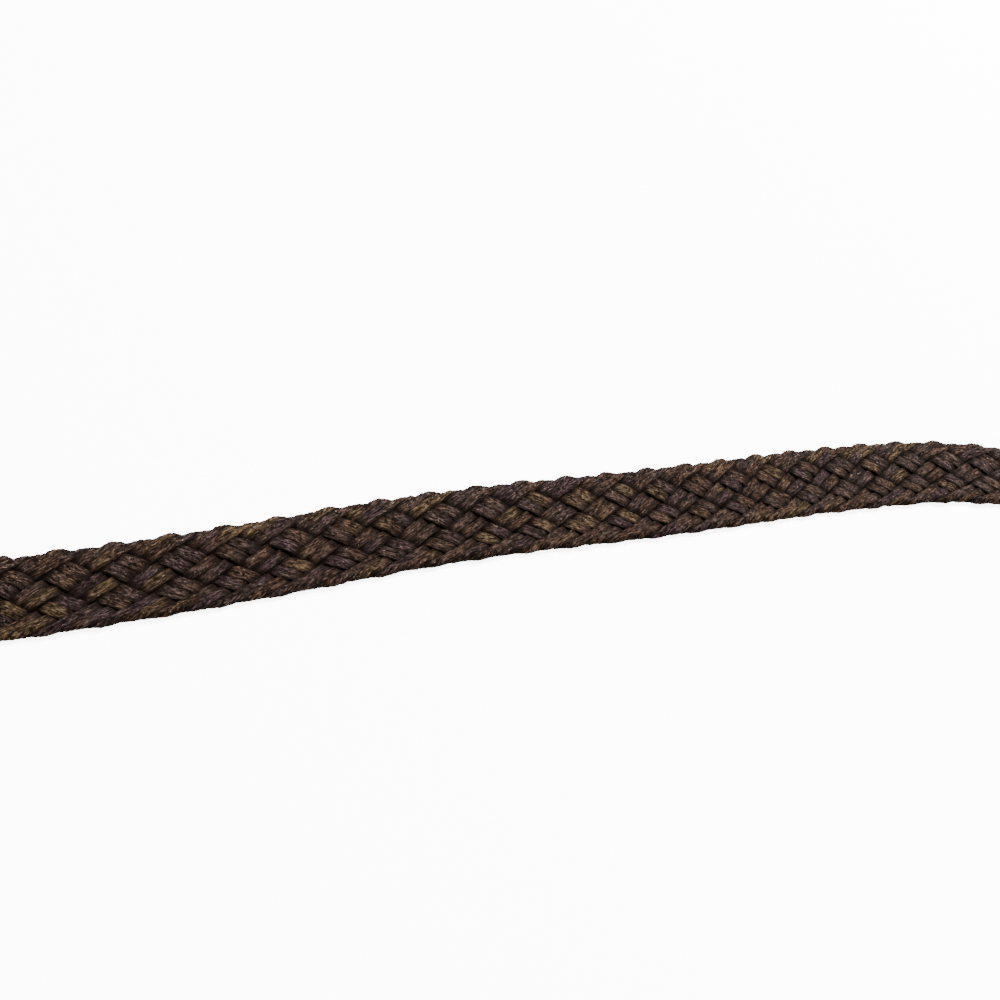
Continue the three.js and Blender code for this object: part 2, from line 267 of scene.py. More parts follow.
# Rows along a lace, closer together where it dives or folds: their density is 1 and a bell curve
# exp(-(d / reach)^2) at each dive and fold, and its running total is stepped evenly.
def laceRows(first, last, folds, dives):
    fine = np.linspace(first, last, int((last - first) * laceGrid["finePerHalf"]) + 1)
    fromDive = (fine[:, None] - dives[None, :]) / laceGrid["diveReach"]
    fromFold = (fine[:, None] - folds[None, :]) / laceGrid["turnReach"]
    density = 1 + laceGrid["diveRows"] * np.exp(-fromDive ** 2).sum(axis=1)
    density = density + laceGrid["turnRows"] * np.exp(-fromFold ** 2).sum(axis=1)
    total = np.concatenate([[0], np.cumsum((density[1:] + density[:-1]) / 2)])
    count = int((last - first) * laceGrid["rowsPerHalf"]) + 1
    return np.interp(np.linspace(0, total[-1], count), total, fine)


# A lace's section, as shares of its half width and half thickness: flat faces, a little domed by
# the square of x, joined by round sides. The last point closes the right side.
def laceSection():
    half = laceGrid["flat"]
    high = laceGrid["sideHeight"]
    flat = np.linspace(half, -half, laceGrid["flatPoints"])
    dome = 1 - laceGrid["dome"] * flat ** 2
    right = np.radians([-20, 20, 60])
    left = np.radians([120, 160, 200, 240])
    rightX = half + (1 - half) * np.cos(right)
    leftX = -half + (1 - half) * np.cos(left)
    x = np.concatenate([rightX, flat, leftX, -flat, [(1 + half) / 2]])
    y = np.concatenate([high * np.sin(right), dome, high * np.sin(left), -dome, [-half]])
    return x, y


# How a lace strays along its length: the size of the stray times a wandering value.
def stray(kind, t, seed):
    number, size, shortest, longest = uneven[kind]
    return size * wander(t, seed + number, shortest, longest)


# Vectors brought to length 1.
def unit(vectors):
    return vectors / np.linalg.norm(vectors, axis=1)[:, None]


# Every point past the edge is bent round a half circle of the lift's radius, to the other side.
# Near the edge the belt bows outwards at every lace's fold, by a sine's absolute value, the first
# lace of a pair more than the second. Also gives how far each point lies from the middle plane.
def foldOver(points, side, edge):
    radius = plait["lift"]
    out = points[..., 2] * side
    over = points[..., 1] * side - edge
    bend = np.clip(over / radius, 0, math.pi)
    kept = np.minimum(over, 0) - np.maximum(over - math.pi * radius, 0)
    reached = edge + kept + out * np.sin(bend)
    wave = np.sin(2 * math.pi * points[..., 0] / pitch)
    near = np.clip(reached / edge * 2 - 1, 0, 1) ** 2
    bow = np.where(side > 0, plait["bowLeft"], plait["bowRight"]) * near
    bow = bow * (np.abs(wave) + plait["bowPair"] * wave - plait["bowMean"])
    height = side * out * np.cos(bend)
    return np.stack([points[..., 0], side * (reached + bow), height], axis=-1), np.abs(out)


# One lace, as a ribbon that is unrolled over each edge it is folded round. From the belt's middle
# to the edge its offset is edge (c x - (c - 1) x^3), x from 0 to 1, and it goes on at the same
# pace past the fold. Its height is the lift times a product of tanh steps, one at each dive. Its
# section stands square to its run, and is then folded over the edge with it.
def lacePoints(strand, side):
    shift = side * plait["spread"]
    first = -(1 + 2 * strand) - 2 * shift
    last = first + 2 * repeats
    folds, dives = laceMarks(first, last, shift)
    t = laceRows(first, last, folds, dives)
    seed = 10 * strand + (5 if side > 0 else 0)
    nearest = np.rint(t / 6) * 6
    edgeSide = np.sin(math.pi * (nearest - 3) / 6).round()
    past = t - nearest

    edge = plait["edge"] - side * plait["bulge"] / 2
    turnAt = edge + math.pi * plait["lift"] / 2
    x = (3 - np.abs(past)) / 3
    c = 1 + plait["slower"]
    reach = turnAt * (c * x - (c - 1) * x ** 3)
    unrolled = np.where(past < 0, reach, 2 * turnAt - reach) + stray("sideways", t, seed)
    pace = np.gradient(unrolled + 2 * turnAt * nearest / 6, t)
    along = (t + 1 + 2 * strand) * pitch / 2 + shift * pitch + stray("along", t, seed)
    steps = np.tanh((t[:, None] - dives[None, :]) / plait["dive"])
    steps = steps * np.sign(nearest[:, None] - dives[None, :])
    height = plait["lift"] * steps.prod(axis=1) * (1 + stray("height", t, seed))

    climb = edgeSide * np.gradient(height, t)
    forward = unit(np.stack([np.gradient(along, t), edgeSide * pace, climb], axis=-1))
    roll = stray("roll", t, seed)
    outer = np.stack([np.zeros_like(roll), np.sin(roll), np.cos(roll)], axis=-1)
    outer = edgeSide[:, None] * outer
    outer = unit(outer - forward * (outer * forward).sum(axis=1)[:, None])
    across = np.cross(forward, outer)

    sectionX, sectionY = laceSection()
    narrowed = 1 - (1 - plait["foldWidth"]) * np.exp(-(past / plait["foldReach"]) ** 2)
    halfWidth = plait["laceWidth"] / 2 * narrowed * (1 + stray("width", t, seed))
    halfThick = plait["laceThick"] / 2 * (1 + stray("thickness", t, seed))
    lateral = halfWidth[:, None] * sectionX[None, :]
    run = np.broadcast_to((t * pitch * plait["laceRun"])[:, None], lateral.shape)
    ridged = 1 + ridges["size"] * wanderOver(
        run * ridges["stretch"], lateral, seed + ridges["seed"],
        ridges["shortest"], ridges["longest"], ridges["slant"])
    normal = halfThick[:, None] * sectionY[None, :] * ridged
    middle = np.stack([along, edgeSide * unrolled, edgeSide * height], axis=-1)
    points = middle[:, None, :] + across[:, None, :] * lateral[..., None]
    points = points + outer[:, None, :] * normal[..., None]
    folded, depth = foldOver(points, edgeSide[:, None], edge)
    toDive = np.abs(t[:, None] - dives[None, :]).min(axis=1)
    return t, folded, run, lateral, normal, depth, toDive


# The places of an even, free plait are swayed along the belt by a sine and skewed by their
# offset, and pressed flatter and narrower towards the leather at both ends by a smooth step. The
# rows lean to the right by a parabola that keeps the edges in place. Nothing lies below the floor.
def pressed(points):
    even = points[..., 0]
    turns = plait["swayWaves"] * even / braidLength
    swayed = belt["braidStart"] + even + plait["sway"] * np.sin(2 * math.pi * turns)
    outside = np.minimum(swayed - belt["tabLength"], belt["length"] - belt["tipLength"] - swayed)
    free = smoothStep(np.clip(outside / plait["pressLength"], 0, 1))
    narrow = 1 - (1 - free) * 2 * plait["sideTuck"] / plait["width"]
    flat = free + (1 - free) * plait["pressedThickness"] / plait["thickness"]
    middle = free * plait["thickness"] / 2 + (1 - free) * plait["pressedMiddle"]
    across = points[..., 1] / (plait["width"] / 2)
    offset = (points[..., 1] - plait["lean"] * free * np.maximum(1 - across ** 2, 0)) * narrow
    height = np.maximum(middle + points[..., 2] * flat, 0)
    return onBelt(swayed + plait["skew"] * offset * free, offset, height)


def setAttribute(mesh, name, kind, values):
    attribute = mesh.attributes.new(name, kind, "POINT")
    field = "vector" if kind == "FLOAT_VECTOR" else "value"
    attribute.data.foreach_set(field, np.ascontiguousarray(values, dtype=np.float32).reshape(-1))


# Materials
def newGroup(name, inputs, outputs):
    group = bpy.data.node_groups.new(name, "ShaderNodeTree")
    for label, kind, value in inputs:
        socket = group.interface.new_socket(label, in_out="INPUT", socket_type=kind)
        if value is not None:
            socket.default_value = value
    for label, kind in outputs:
        group.interface.new_socket(label, in_out="OUTPUT", socket_type=kind)
    return group, group.nodes.new("NodeGroupInput"), group.nodes.new("NodeGroupOutput")


# A socket takes a value, or a link from another node's socket.
def feed(tree, socket, value):
    if isinstance(value, bpy.types.NodeSocket):
        tree.links.new(value, socket)
    else:
        socket.default_value = value


# A node with its inputs, each given by its socket's name, or by i and the socket's number.
def addNode(tree, kind, settings=None, **inputs):
    node = tree.nodes.new(kind)
    for key, value in (settings or {}).items():
        setattr(node, key, value)
    for key, value in inputs.items():
        numbered = key[0] == "i" and key[1:].isdigit()
        feed(tree, node.inputs[int(key[1:]) if numbered else key], value)
    return node


# Stops of grey for a mask.
def greys(*stops):
    return [(position, (value, value, value)) for position, value in stops]


def ramp(tree, value, stops):
    node = tree.nodes.new("ShaderNodeValToRGB")
    elements = node.color_ramp.elements
    while len(elements) < len(stops):
        elements.new(0.5)
    for element, (position, colour) in zip(elements, stops):
        element.position = position
        element.color = (*colour, 1.0)
    tree.links.new(value, node.inputs["Fac"])
    return node.outputs["Color"]


def mixColour(tree, factor, first, second, blend="MIX"):
    node = tree.nodes.new("ShaderNodeMix")
    node.data_type = "RGBA"
    node.blend_type = blend
    feed(tree, node.inputs["Factor"], factor)
    feed(tree, node.inputs[6], first)
    feed(tree, node.inputs[7], second)
    return node.outputs[2]


# Scale along the lace, and scale, detail and roughness of each noise
fibreNoise = {
    "Fibre": (0.25, 2.0, 5.0, 0.68),
    "Crease": (0.06, 0.9, 3.0, 0.5),
    "Fleck": (0.25, 2.6, 4.0, 0.62),
}


# Fibres, creases and flecks: noise stretched along the first coordinate, in millimetres.
def fibreGroup():
    group, given, made = newGroup(
        "lengthwiseFibres",
        [("Coord", "NodeSocketVector", None), ("Seed", "NodeSocketFloat", 0.0)],
        [(label, "NodeSocketFloat") for label in fibreNoise],
    )
    for label, (stretch, scale, detail, roughness) in fibreNoise.items():
        stretched = addNode(group, "ShaderNodeMapping", Vector=given.outputs["Coord"],
                            Scale=(stretch, 1.0, 1.0))
        noise = addNode(group, "ShaderNodeTexNoise", {"noise_dimensions": "4D"},
                        Vector=stretched.outputs[0], W=given.outputs["Seed"], Scale=scale,
                        Detail=detail, Roughness=roughness)
        group.links.new(noise.outputs["Fac"], made.inputs[label])
    return group


fibres = fibreGroup()

laceFinish = {
    "tones": [               # purple, grey, brown and olive, by laceTone
        (0.1, (0.0124, 0.0077, 0.0081)), (0.38, (0.0138, 0.0092, 0.0076)),
        (0.62, (0.0163, 0.0092, 0.0067)), (0.95, (0.0225, 0.0150, 0.0083)),
    ],
    "streaks": [             # multiply the tone, by the fibres
        (0.4, (0.1, 0.09, 0.09)), (0.5, (0.72, 0.7, 0.69)), (0.61, (2.9, 2.85, 2.8)),
    ],
    "furrows": [             # painted shade: thin dark lines along the laces where the creases' noise passes its middle
        (0.45, (1.1, 1.1, 1.1)), (0.49, (0.25, 0.22, 0.22)),
        (0.51, (0.25, 0.22, 0.22)), (0.55, (1.1, 1.1, 1.1)),
    ],
    # light flecks: partly the leather's own pale flecks, partly painted highlights
    "flecks": greys((0.62, 0.0), (0.71, 0.8)),
    "fleckAndHighlight": (0.17, 0.125, 0.088),
    # painted shade: the near-black colour that the three masks below mix in
    "deep": (0.002, 0.001, 0.0008),
    "sunk": greys((0.5, 1.0), (0.98, 0.0)),                  # painted shade, by the height in the plait: darker where a lace lies low
    "border": greys((0.0, 0.95), (0.2, 0.5), (0.44, 0.0)),   # painted shade towards a lace's long edges, by the place across the lace
    "dive": greys((0.0, 0.95), (0.1, 0.6), (0.28, 0.0)),     # painted shade where a lace dives under the next, by half-steps from a dive
    "rough": (0.85, 0.6),    # between the fibres and on them
    "roughOver": (0.3, 0.7),
    "crease": 1.6,           # weight of the long creases against the fibres in the relief
    "relief": 0.6,           # its depth, mm
    "reliefShare": 1.0,
    "gloss": 0.025,
    "glossTint": (1.0, 0.8, 0.66),
}


# Noise at a place. Its values are its scale, detail and roughness.
def noiseOver(tree, place, values):
    scale, detail, roughness = values
    noise = addNode(tree, "ShaderNodeTexNoise", Vector=place, Scale=scale, Detail=detail,
                    Roughness=roughness)
    return noise.outputs["Fac"]


def newMaterial(name):
    material = bpy.data.materials.new(name)
    material.use_nodes = True
    return material, material.node_tree, material.node_tree.nodes["Principled BSDF"]


# Colour, roughness, relief and gloss of a shader. The roughness follows a measure evenly.
def dress(tree, shader, finish, colour, measure, height):
    feed(tree, shader.inputs["Base Color"], colour)
    low, high = finish["roughOver"]
    first, last = finish["rough"]
    rough = addNode(tree, "ShaderNodeMapRange", Value=measure, i1=low, i2=high, i3=first, i4=last)
    feed(tree, shader.inputs["Roughness"], rough.outputs[0])
    bump = addNode(tree, "ShaderNodeBump", Height=height, Strength=finish["reliefShare"],
                   Distance=finish["relief"] * mm)
    feed(tree, shader.inputs["Normal"], bump.outputs[0])
    shader.inputs["Specular IOR Level"].default_value = finish["gloss"]
    shader.inputs["Specular Tint"].default_value = (*finish["glossTint"], 1.0)


def laceMaterial():
    material, tree, shader = newMaterial("worn lace leather")
    own = {
        name: addNode(tree, "ShaderNodeAttribute", {"attribute_name": name}).outputs
        for name in ("laceCoord", "laceTone", "laceLevel", "laceSeed", "laceMargin", "laceDive")
    }
    fibre = addNode(tree, "ShaderNodeGroup", {"node_tree": fibres},
                    Coord=own["laceCoord"]["Vector"], Seed=own["laceSeed"]["Fac"])
    deep = (*laceFinish["deep"], 1.0)
    colour = ramp(tree, own["laceTone"]["Fac"], laceFinish["tones"])
    streak = ramp(tree, fibre.outputs["Fibre"], laceFinish["streaks"])
    colour = mixColour(tree, 1.0, colour, streak, "MULTIPLY")
    # Painted shade: thin dark lines along the creases.
    furrow = ramp(tree, fibre.outputs["Crease"], laceFinish["furrows"])
    colour = mixColour(tree, 1.0, colour, furrow, "MULTIPLY")
    # Light flecks, partly the leather's own and partly painted highlights.
    fleckMask = ramp(tree, fibre.outputs["Fleck"], laceFinish["flecks"])
    colour = mixColour(tree, fleckMask, colour, (*laceFinish["fleckAndHighlight"], 1.0))
    # Painted shade: the near-black colour is mixed in where a lace lies low, near its long edges
    # and where it dives.
    for name, mask in (("laceLevel", "sunk"), ("laceMargin", "border"), ("laceDive", "dive")):
        colour = mixColour(tree, ramp(tree, own[name]["Fac"], laceFinish[mask]), colour, deep)
    height = addNode(tree, "ShaderNodeMath", {"operation": "MULTIPLY_ADD"},
                     i0=fibre.outputs["Crease"], i1=laceFinish["crease"],
                     i2=fibre.outputs["Fibre"]).outputs[0]
    dress(tree, shader, laceFinish, colour, fibre.outputs["Fibre"], height)
    return material


def plainMaterial(name, colour, roughness):
    material, _, shader = newMaterial(name)
    shader.inputs["Base Color"].default_value = (*colour, 1.0)
    shader.inputs["Roughness"].default_value = roughness
    return material


laceLeather = laceMaterial()
toneWander = {
    "middle": 0.46,
    "size": 0.38,            # within a lace
    "shortest": 1.6,         # half-steps
    "longest": 12,
    "between": 0.16,         # from lace to lace
    "turn": 2.4,             # radians from one lace to the next
    "seed": 300,
    "patternStep": 7.3,      # between the laces' places in the noise
}
for strand in range(plait["strands"]):
    for side in (-1, 1):
        t, points, run, lateral, normal, depth, toDive = lacePoints(strand, side)
        number = 2 * strand + (side > 0)
        tone = toneWander["middle"] + toneWander["size"] * wander(
            t, toneWander["seed"] + number, toneWander["shortest"], toneWander["longest"])
        tone = tone + toneWander["between"] * math.sin(toneWander["turn"] * number)
        mesh = gridMesh(f"lace_{strand + 1}{'a' if side < 0 else 'b'}", pressed(points))
        coord = np.stack([run, lateral, normal], axis=-1)
        setAttribute(mesh, "laceCoord", "FLOAT_VECTOR", coord)
        # laceLevel, laceMargin and laceDive carry the painted shade of the lace material.
        values = {
            "laceTone": tone[:, None],
            "laceLevel": depth / (plait["thickness"] / 2),
            "laceMargin": 1 - np.abs(lateral) / np.abs(lateral).max(axis=1, keepdims=True),
            "laceDive": toDive[:, None],
            "laceSeed": toneWander["patternStep"] * number,
        }
        for name, value in values.items():
            setAttribute(mesh, name, "FLOAT", np.broadcast_to(value, lateral.shape))
        addPiece(mesh, laceLeather, ("braided_strap",))
print("laces made")

# Smooth strap leather
hideFinish = {
    "colour": (0.0085, 0.0044, 0.0030),
    "worn": (0.020, 0.0112, 0.0072),
    "wear": greys((0.42, 0.0), (0.68, 1.0)),
    "wearNoise": (60.0, 6.0, 0.65),
    "rough": (0.5, 0.7),     # where it is kept and where it is worn
    "roughOver": (0.3, 0.7),
    "grain": 650.0,          # pebbles to the metre, about
    "furrow": 0.18,          # width of the furrows between them, of their size
    "relief": 0.09,          # mm
    "reliefShare": 0.5,
    "gloss": 0.035,
    "glossTint": (1.0, 0.84, 0.72),
}


# Fine pebbled grain with soft wear: cells give the height, and slow noise the wear.
def grainGroup():
    group, given, made = newGroup(
        "pebbledGrain",
        [("Vector", "NodeSocketVector", None), ("Scale", "NodeSocketFloat", 400.0)],
        [("Height", "NodeSocketFloat"), ("Wear", "NodeSocketFloat")],
    )
    cells = addNode(group, "ShaderNodeTexVoronoi", {"feature": "DISTANCE_TO_EDGE"},
                    Vector=given.outputs["Vector"], Scale=given.outputs["Scale"])
    height = addNode(group, "ShaderNodeMapRange", Value=cells.outputs["Distance"], i1=0.0,
                     i2=hideFinish["furrow"], i3=0.0, i4=1.0)
    wear = noiseOver(group, given.outputs["Vector"], hideFinish["wearNoise"])
    group.links.new(height.outputs[0], made.inputs["Height"])
    group.links.new(wear, made.inputs["Wear"])
    return group


grain = grainGroup()


def hideMaterial():
    material, tree, shader = newMaterial("smooth strap leather")
    place = addNode(tree, "ShaderNodeTexCoord").outputs["Object"]
    pebbles = addNode(tree, "ShaderNodeGroup", {"node_tree": grain}, Vector=place,
                      Scale=hideFinish["grain"])
    mask = ramp(tree, pebbles.outputs["Wear"], hideFinish["wear"])
    colour = mixColour(tree, mask, (*hideFinish["colour"], 1.0), (*hideFinish["worn"], 1.0))
    dress(tree, shader, hideFinish, colour, pebbles.outputs["Wear"], pebbles.outputs["Height"])
    return material


hideLeather = hideMaterial()


# Points of a straight piece at one place on the belt: x along it, y to its left.
def standAt(distance, points):
    x, y, heading = (float(value) for value in routeAt(distance))
    px = barX + x + points[..., 0] * math.cos(heading) - points[..., 1] * math.sin(heading)
    py = barY + y + points[..., 0] * math.sin(heading) + points[..., 1] * math.cos(heading)
    return np.stack([px, py, points[..., 2]], axis=-1)


tab = {
    "slotHalf": 3.5,         # half the width of the cut for the prong
    "slotReach": 10.0,       # how far it runs behind the bar
    "slope": 12.0,           # length over which the tab thins behind the bar
    "bore": 1.9,             # inner radius of the fold
    "edge": 0.35,            # rounding of the leather's edges
    "sharp": 50,             # degrees, sharper edges are rounded
    "flatRows": 21,
    "slopeRows": 26,
    "foldRows": 25,
    "halfColumns": 9,        # points across each half, beside the cut
}


# The tab's middle surface: a strip that runs along its lower side, round the bar and back over
# its upper side. The cut opens its middle, with half-round ends: the inner border of each half
# lies at sqrt(r^2 - d^2), d past the centre of the cut's end.
def tabMesh():
    middle = tab["bore"] + belt["leather"] / 2
    upper = belt["leatherHeight"] - belt["leather"] / 2
    bar = belt["barHeight"]
    angle = np.linspace(-math.pi / 2, -3 * math.pi / 2, tab["foldRows"])[1:-1]
    flat = np.linspace(belt["tabLength"], tab["slope"], tab["flatRows"] + 1)[:-1]
    back = np.concatenate([flat, np.linspace(tab["slope"], 0, tab["slopeRows"])])
    x = np.concatenate([back, middle * np.cos(angle), back[::-1]])
    under = np.full(len(back), belt["leather"] / 2)
    over = bar + middle + (upper - bar - middle) * np.clip(back[::-1] / tab["slope"], 0, 1)
    z = np.concatenate([under, bar + middle * np.sin(angle), over])
    past = np.clip(x - (tab["slotReach"] - tab["slotHalf"]), 0, tab["slotHalf"])
    inner = np.sqrt(np.maximum(tab["slotHalf"] ** 2 - past ** 2, 0))
    half = belt["leatherWidth"] / 2
    share = np.linspace(0, 1, tab["halfColumns"])
    right = -half + (half - inner)[:, None] * share[None, :]
    y = np.concatenate([right, -right[:, ::-1]], axis=1)
    points = np.stack(np.broadcast_arrays(x[:, None], y, z[:, None]), axis=-1)
    mesh = gridMesh("buckle_tab_leather", standAt(0, points), closedAcross=False)
    shape = bmesh.new()
    shape.from_mesh(mesh)
    shape.faces.ensure_lookup_table()
    columns = y.shape[1] - 1
    seam = [face for face in shape.faces if face.index % columns == share.size - 1]
    bmesh.ops.delete(shape, geom=seam, context="FACES_ONLY")
    shape.to_mesh(mesh)
    shape.free()
    return tidied(mesh)


tabPiece = addPiece(tabMesh(), hideLeather, ("buckle_tab",))
thick = tabPiece.modifiers.new("thickness", "SOLIDIFY")
thick.thickness = belt["leather"] * mm
thick.offset = 0
thick.use_even_offset = True
soft = tabPiece.modifiers.new("softEdges", "BEVEL")
soft.width = tab["edge"] * mm
soft.segments = 3
soft.limit_method = "ANGLE"
soft.angle_limit = math.radians(tab["sharp"])

keeper = {
    "width": 12.0,
    "side": 0.8,             # clearance at each side of the tab
    "low": 1.8,              # underside of its lower run, between the tab's layers
    "roof": 13.3,            # inside of its upper run
    "corner": 1.85,          # to the middle of the leather
    "domed": 0.25,           # rise of its outside, mm
    "square": 5.0,           # exponent of its section
    "sectionSides": 28,
    "cornerSteps": 8,
    "runSteps": 14,
}


# A rounded rectangle as a path: straight runs joined by quarter circles, evenly stepped.
def roundedPath(left, right, low, high, corner, steps, runs):
    pieces = []
    corners = [(right - corner, low + corner, -90), (right - corner, high - corner, 0),
               (left + corner, high - corner, 90), (left + corner, low + corner, 180)]
    for number, (cx, cy, start) in enumerate(corners):
        angle = np.radians(np.linspace(start, start + 90, steps + 1))
        arc = np.stack([cx + corner * np.cos(angle), cy + corner * np.sin(angle)], axis=-1)
        nx, ny, nextStart = corners[(number + 1) % 4]
        meet = np.radians(nextStart)
        following = np.array([nx + corner * math.cos(meet), ny + corner * math.sin(meet)])
        share = np.linspace(0, 1, runs + 2)[1:-1, None]
        pieces += [arc, arc[-1] + (following - arc[-1]) * share]
    return np.concatenate(pieces)


# The direction of a closed path at each of its points: from the one before to the one after.
def aheadOn(path):
    return unit(np.roll(path, -1, axis=0) - np.roll(path, 1, axis=0))


# The keeper: a flat oval section carried round a rounded rectangle that stands on edge.
# Its outside is domed by 1 less the square of the place across it.
def keeperMesh():
    half = belt["leatherWidth"] / 2 + keeper["side"] + belt["leather"] / 2
    path = roundedPath(
        -half, half, keeper["low"] + belt["leather"] / 2, keeper["roof"] + belt["leather"] / 2,
        keeper["corner"], keeper["cornerSteps"], keeper["runSteps"])
    ahead = aheadOn(path)
    outward = np.stack([ahead[:, 1], -ahead[:, 0]], axis=-1)
    sx, sy = superellipse(keeper["sectionSides"], keeper["square"])
    rise = belt["leather"] / 2 * sy + keeper["domed"] * (1 - sx ** 2) * (sy > 0)
    y = path[:, 0, None] + outward[:, 0, None] * rise[None, :]
    z = path[:, 1, None] + outward[:, 1, None] * rise[None, :]
    x = np.broadcast_to(belt["keeperMiddle"] + keeper["width"] / 2 * sx, y.shape)
    points = standAt(0, np.stack([x, y, z], axis=-1))
    return tidied(gridMesh("keeper_leather", points, closedAlong=True))


addPiece(keeperMesh(), hideLeather, ("keeper_loop",))

tip = {
    "rounded": 20.0,         # length of the rounded end
    "pocket": 23.3,          # length that the braid fills
    "step": 10.0,            # length over which the upper layer comes down beyond it
    "square": 9.0,           # exponent of a layer's section
    "blunt": 0.02,           # least width at the end, of the leather's
    "straightRows": 39,
    "roundRows": 26,
    "sectionSides": 44,
}
tipStraight = belt["tipLength"] - tip["rounded"]


# Height of the upper layer's top at a distance x from the tip's mouth: over the braid, and then
# down to two layers of leather by a smooth step.
def tipTop(x):
    down = smoothStep(np.clip((x - tip["pocket"]) / tip["step"], 0, 1))
    return 2 * belt["leather"] * down + belt["leatherHeight"] * (1 - down)


# A layer of the tip: sections across it at distances x, each a flat superellipse as wide as the
# tip is there. The rounded end is a quarter ellipse on each side.
def tipLayer(name, upper):
    angle = np.linspace(0, math.pi / 2, tip["roundRows"])
    x = np.linspace(0, tipStraight, tip["straightRows"] + 1)[:-1]
    x = np.concatenate([x, tipStraight + tip["rounded"] * np.sin(angle)])
    ending = np.maximum(np.cos(angle), tip["blunt"])
    width = np.concatenate([np.ones(tip["straightRows"]), ending]) * belt["leatherWidth"] / 2
    high = tipTop(x) if upper else np.full_like(x, belt["leather"])
    middle = high - belt["leather"] / 2
    sx, sy = superellipse(tip["sectionSides"], tip["square"])
    y = width[:, None] * sx[None, :]
    z = middle[:, None] + belt["leather"] / 2 * sy[None, :]
    points = np.stack(np.broadcast_arrays(x[:, None], y, z), axis=-1)
    mesh = gridMesh(name, standAt(belt["length"] - belt["tipLength"], points))
    return tidied(mesh)


for name, upper in (("belt_tip_upper", True), ("belt_tip_lower", False)):
    addPiece(tipLayer(name, upper), hideLeather, ("belt_tip",))
print("leather ends made")

stitch = {
    "length": 2.5,
    "gap": 0.9,
    "radius": 0.32,
    "inset": 2.4,            # from the leather's edge
    "tabStart": 28.5,        # where the tab's seam starts, from the bar
    "ends": 0.35,            # radius at a stitch's ends, of its own
    "rise": 0.9,             # how far its middle rises over its ends, in radii
    "sunk": 0.6,             # how deep its ends lie in the leather, in radii
    "rings": 7,
    "sides": 8,
    "seamSteps": 40,         # of the tip's seam
    "colour": (0.034, 0.021, 0.013),
    "rough": 0.55,
}


# A row of stitches along a path: each is a bead that rises out of the leather and sinks back,
# its height by half a sine along its length and its radius by the root of one.
def stitchRow(path):
    steps = np.linalg.norm(np.diff(path, axis=0), axis=1)
    distance = np.concatenate([[0], np.cumsum(steps)])
    every = stitch["length"] + stitch["gap"]
    starts = np.arange(stitch["gap"] / 2, distance[-1] - stitch["length"], every)
    share = np.linspace(0, 1, stitch["rings"])
    places = starts[:, None] + stitch["length"] * share[None, :]
    middle = np.stack([np.interp(places, distance, path[:, k]) for k in range(3)], axis=-1)
    ahead = unit(middle[:, -1] - middle[:, 0])
    sideways = np.stack([-ahead[:, 1], ahead[:, 0], np.zeros(len(ahead))], axis=-1)
    angle = 2 * math.pi * np.arange(stitch["sides"]) / stitch["sides"]
    arch = np.sin(math.pi * share)
    radius = stitch["radius"] * (stitch["ends"] + (1 - stitch["ends"]) * arch ** 0.5)
    across = radius[:, None] * np.cos(angle)[None, :]
    rise = radius[:, None] * np.sin(angle)[None, :]
    rise = rise + stitch["radius"] * (stitch["rise"] * arch - stitch["sunk"])[:, None]
    points = middle[:, :, None, :] + sideways[:, None, None, :] * across[None, :, :, None]
    points[..., 2] += rise[None]
    return points


# A seam's stitches as one mesh. The path stands at a distance on the belt.
def stitchMesh(name, distance, path):
    whole = bmesh.new()
    for bead in stitchRow(path):
        part = gridMesh("bead", standAt(distance, bead))
        whole.from_mesh(part)
        bpy.data.meshes.remove(part)
    mesh = bpy.data.meshes.new(name)
    bmesh.ops.recalc_face_normals(whole, faces=whole.faces)
    whole.to_mesh(mesh)
    whole.free()
    mesh.polygons.foreach_set("use_smooth", np.ones(len(mesh.polygons), dtype=bool))
    return mesh


threadMaterial = plainMaterial("waxed thread", stitch["colour"], stitch["rough"])
seamY = belt["leatherWidth"] / 2 - stitch["inset"]
seamX = belt["tabLength"] - stitch["inset"]
mouth = stitch["tabStart"]
tabSeam = [(mouth, -seamY), (seamX, -seamY), (seamX, seamY), (mouth, seamY)]
tabSeam = np.array([(x, y, belt["leatherHeight"]) for x, y in tabSeam])
addPiece(stitchMesh("buckle_tab_stitches", 0, tabSeam), threadMaterial)


# The tip's seam runs inside its outline, half an ellipse round the end, on the upper layer,
# whose height it follows.
def tipSeam():
    angle = np.linspace(-math.pi / 2, math.pi / 2, stitch["seamSteps"] + 1)
    straight = np.linspace(stitch["inset"], tipStraight, stitch["seamSteps"])[:-1]
    ending = tipStraight + (tip["rounded"] - stitch["inset"]) * np.cos(angle)
    x = np.concatenate([straight, ending, straight[::-1]])
    side = np.full(len(straight), seamY)
    y = np.concatenate([-side, seamY * np.sin(angle), side])
    return np.stack([x, y, tipTop(x)], axis=-1)


tipStitches = stitchMesh("belt_tip_stitches", belt["length"] - belt["tipLength"], tipSeam())
addPiece(tipStitches, threadMaterial)
print("stitches made")

